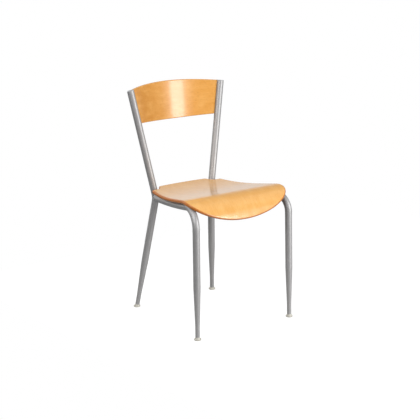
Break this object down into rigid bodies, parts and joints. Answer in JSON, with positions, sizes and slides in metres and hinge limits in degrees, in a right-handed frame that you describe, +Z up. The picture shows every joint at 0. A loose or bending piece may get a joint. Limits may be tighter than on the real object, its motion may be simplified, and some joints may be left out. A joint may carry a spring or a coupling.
{
  "type": "stacking chair",
  "caption": "Stacking side chair: splayed bent steel tube legs and uprights, moulded plywood seat with a rounded front lip and a curved plywood back panel.",
  "frame": {"origin": "on the floor, under the middle of the chair's overall width and depth", "axes": "+Z up from the floor, the sitter faces -Y, +X to the sitter's left"},
  "size_m": [0.443, 0.4984, 0.8351],
  "materials": {
    "frame_coat": "satin silver powder coat on steel tube",
    "beech_ply": "clear gloss lacquer on honey-coloured moulded beech plywood",
    "glide_nylon": "off-white moulded nylon",
    "cap_plastic": "grey moulded plastic",
    "pad_plastic": "black moulded plastic",
    "screw_steel": "zinc-plated steel"
  },
  "bodies": {
    "root": {"left_rear_leg": "frame_coat", "right_rear_leg": "frame_coat", "left_front_leg": "frame_coat", "right_front_leg": "frame_coat", "front_cross_rail": "frame_coat", "rear_cross_rail": "frame_coat", "seat_shell": "beech_ply", "back_panel": "beech_ply", "left_rear_glide": "glide_nylon", "right_rear_glide": "glide_nylon", "left_front_glide": "glide_nylon", "right_front_glide": "glide_nylon", "left_upright_cap": "cap_plastic", "right_upright_cap": "cap_plastic", "left_front_seat_pad": "pad_plastic", "right_front_seat_pad": "pad_plastic", "left_rear_seat_pad": "pad_plastic", "right_rear_seat_pad": "pad_plastic", "seat_screws": "screw_steel", "back_screws": "screw_steel"}
  },
  "joints": []
}
